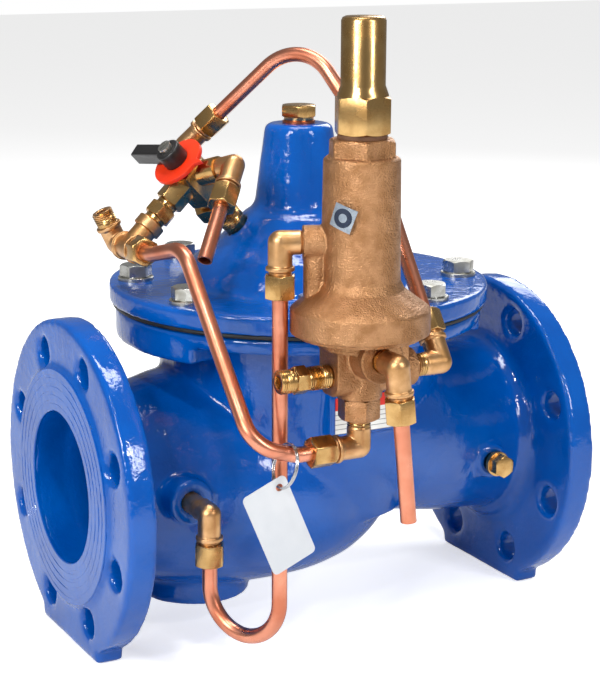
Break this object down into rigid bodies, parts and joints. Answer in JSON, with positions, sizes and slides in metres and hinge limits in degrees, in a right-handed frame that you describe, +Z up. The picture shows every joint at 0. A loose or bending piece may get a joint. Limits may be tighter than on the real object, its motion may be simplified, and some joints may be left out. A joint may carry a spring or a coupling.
{
  "type": "pilot-operated control valve",
  "caption": "Flanged globe-pattern diaphragm control valve with a bronze spring pilot, three-way cock and copper control tubing.",
  "frame": {"origin": "centre of the inlet flange's raised face, on the bore's axis", "axes": "+X along the flow from inlet to outlet, +Z up along the main stem, +Y away from the pilot's side"},
  "size_m": [0.35, 0.3515, 0.4162],
  "materials": {
    "blue_epoxy": "glossy fusion-bonded epoxy over cast iron",
    "cast_iron_grey": "machined ductile iron",
    "black_rubber": "reinforced rubber",
    "stainless": "turned stainless steel",
    "bronze": "plain bearing bronze",
    "spring_steel": "oiled spring wire",
    "zinc_steel": "bright zinc plate",
    "machined_brass": "bright machined and cast brass",
    "sand_cast_bronze": "shot-blasted sand casting",
    "copper_tube": "bright drawn copper",
    "copper_washer": "soft copper",
    "fibre_gasket": "compressed fibre",
    "chromed_ball": "chromed brass",
    "red_plate": "red plastic",
    "black_plastic": "black moulded plastic",
    "steel_wire": "nickel-plated wire",
    "label": "printed aluminium",
    "card": "coated card"
  },
  "bodies": {
    "valve": {"valve_body": "blue_epoxy", "bonnet": "blue_epoxy", "main_diaphragm": "black_rubber", "seat_ring": "stainless", "seat_o_ring": "black_rubber", "lower_guide_bush": "bronze", "upper_guide_bush": "bronze", "main_spring": "spring_steel", "cover_bolts": "zinc_steel", "cover_washers": "zinc_steel", "top_plug": "machined_brass", "top_plug_gasket": "copper_washer", "outlet_plug": "machined_brass", "nameplate": "label", "pilot_body": "sand_cast_bronze", "pilot_bonnet": "sand_cast_bronze", "pilot_cap_gasket": "fibre_gasket", "lock_nut": "zinc_steel", "pilot_spring": "spring_steel", "pilot_diaphragm": "black_rubber", "pilot_seat": "stainless", "pilot_poppet_spring": "spring_steel", "pilot_bottom_plug": "sand_cast_bronze", "pilot_nipple": "machined_brass", "inlet_elbow": "machined_brass", "pilot_upper_elbow": "machined_brass", "pilot_bottom_elbow": "machined_brass", "pilot_outlet_elbow": "machined_brass", "pilot_front_elbow": "machined_brass", "cock_elbows": "machined_brass", "tube_nuts": "machined_brass", "tube_ferrules": "machined_brass", "inlet_tube": "copper_tube", "sensing_tube": "copper_tube", "bonnet_tube": "copper_tube", "stub_tubes": "copper_tube", "cock_union": "machined_brass", "cock_body": "machined_brass", "position_plate": "red_plate", "tee": "machined_brass", "tee_nipple": "machined_brass", "end_elbow": "machined_brass"},
    "main_spindle": {"valve_stem": "stainless", "valve_disc": "cast_iron_grey", "disc_seal": "black_rubber", "disc_retainer": "stainless", "spacer_sleeve": "stainless", "diaphragm_plate_lower": "stainless", "diaphragm_plate_upper": "stainless", "stem_nuts": "stainless"},
    "pilot_spindle": {"pilot_stem": "stainless", "pilot_diaphragm_plate": "machined_brass"},
    "spring_button": {"spring_button": "zinc_steel"},
    "adjusting_screw": {"adjusting_screw": "zinc_steel"},
    "pilot_cap": {"pilot_cap": "machined_brass"},
    "cock_plug": {"cock_handle": "black_plastic", "cock_ball": "chromed_ball", "handle_screw": "zinc_steel"},
    "tag_ring": {"tag_ring": "steel_wire"},
    "tag_card": {"tag_card": "card"}
  },
  "joints": [
    {"name": "disc_lift", "type": "slide", "parent": "valve", "child": "main_spindle", "axis": [0, 0, 1], "range_m": [0, 0.025], "deforming": ["main_spring", "main_diaphragm"]},
    {"name": "pilot_travel", "type": "slide", "parent": "valve", "child": "pilot_spindle", "axis": [0, 0, 1], "range_m": [0, 0.002], "deforming": ["pilot_diaphragm", "pilot_poppet_spring"]},
    {"name": "spring_button_travel", "type": "slide", "parent": "valve", "child": "spring_button", "axis": [0, 0, -1], "range_m": [0, 0.012], "deforming": ["pilot_spring"]},
    {"name": "screw_turn", "type": "hinge", "parent": "spring_button", "child": "adjusting_screw", "pos_m": [0.125, -0.172, 0.1267], "axis": [0, 0, -1], "range_deg": [0, 2880]},
    {"name": "cap_lift_off", "type": "slide", "parent": "valve", "child": "pilot_cap", "axis": [0, 0, 1], "range_m": [0, 0.045]},
    {"name": "cock_turn", "type": "hinge", "parent": "valve", "child": "cock_plug", "pos_m": [0.0961, 0.00001, 0.1981], "axis": [-0.7009, -0.1323, 0.7009], "range_deg": [-120, 120]},
    {"name": "tag_ring_swing", "type": "hinge", "parent": "valve", "child": "tag_ring", "pos_m": [0.07793, -0.172, 0.05835], "axis": [0.9564, 0, -0.292], "range_deg": [-35, 8]},
    {"name": "tag_card_swing", "type": "hinge", "parent": "tag_ring", "child": "tag_card", "pos_m": [0.07192, -0.172, 0.03864], "axis": [0, 1, 0], "range_deg": [-20, 20]}
  ],
  "couplings": [
    {"joint": "screw_turn", "follows": "spring_button_travel", "rad_per_m": 4188.8}
  ]
}
